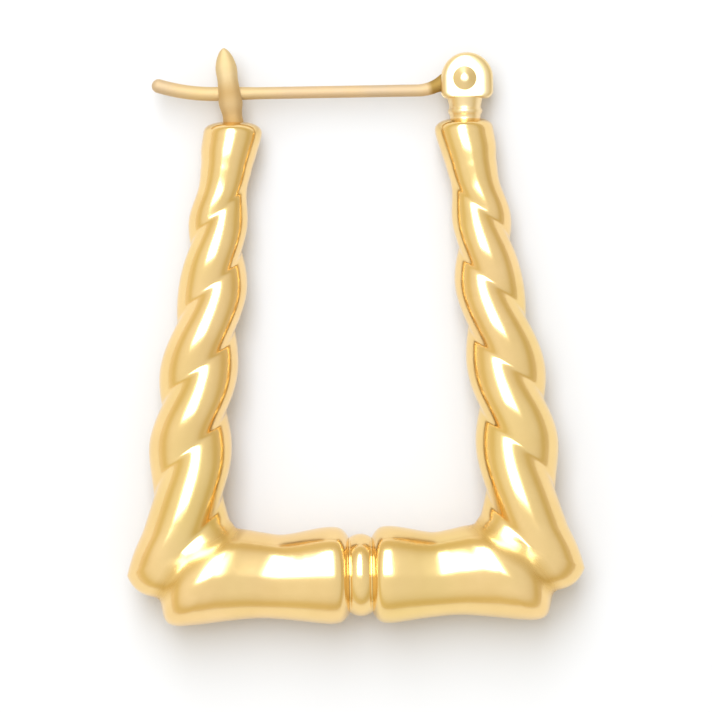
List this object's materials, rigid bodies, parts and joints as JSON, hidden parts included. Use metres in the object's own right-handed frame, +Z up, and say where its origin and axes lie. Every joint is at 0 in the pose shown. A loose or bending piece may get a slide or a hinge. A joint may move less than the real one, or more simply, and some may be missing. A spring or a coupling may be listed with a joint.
{
  "type": "bamboo hoop earring",
  "caption": "Trapezoid hoop earring with two twisted tapering legs, a straight bamboo-style bar, and a hinged ear post that snaps into a pronged catch.",
  "frame": {"origin": "on the table, below the middle of the earring's outline as it lies on its back", "axes": "+Y from the bamboo bar towards the ear post, along the earring's height; +Z up, out of its front face; +X towards the hinge"},
  "size_m": [0.0286, 0.0362, 0.0061],
  "materials": {
    "polished_gold": "mirror-polished 14 karat yellow gold, hollow formed tube",
    "post_gold": "drawn and polished 14 karat yellow gold wire, slightly paler than the hoop",
    "rivet_gold": "polished 14 karat yellow gold rivet with two domed heads"
  },
  "bodies": {
    "hoop_body": {"hoop": "polished_gold", "hinge_rivet": "rivet_gold"},
    "post_body": {"ear_post": "post_gold"}
  },
  "joints": [
    {"name": "post_hinge", "type": "hinge", "parent": "hoop_body", "child": "post_body", "pos_m": [0.00734, 0.01591, 0.00183], "axis": [0, 0, -1], "range_deg": [0, 100]}
  ]
}
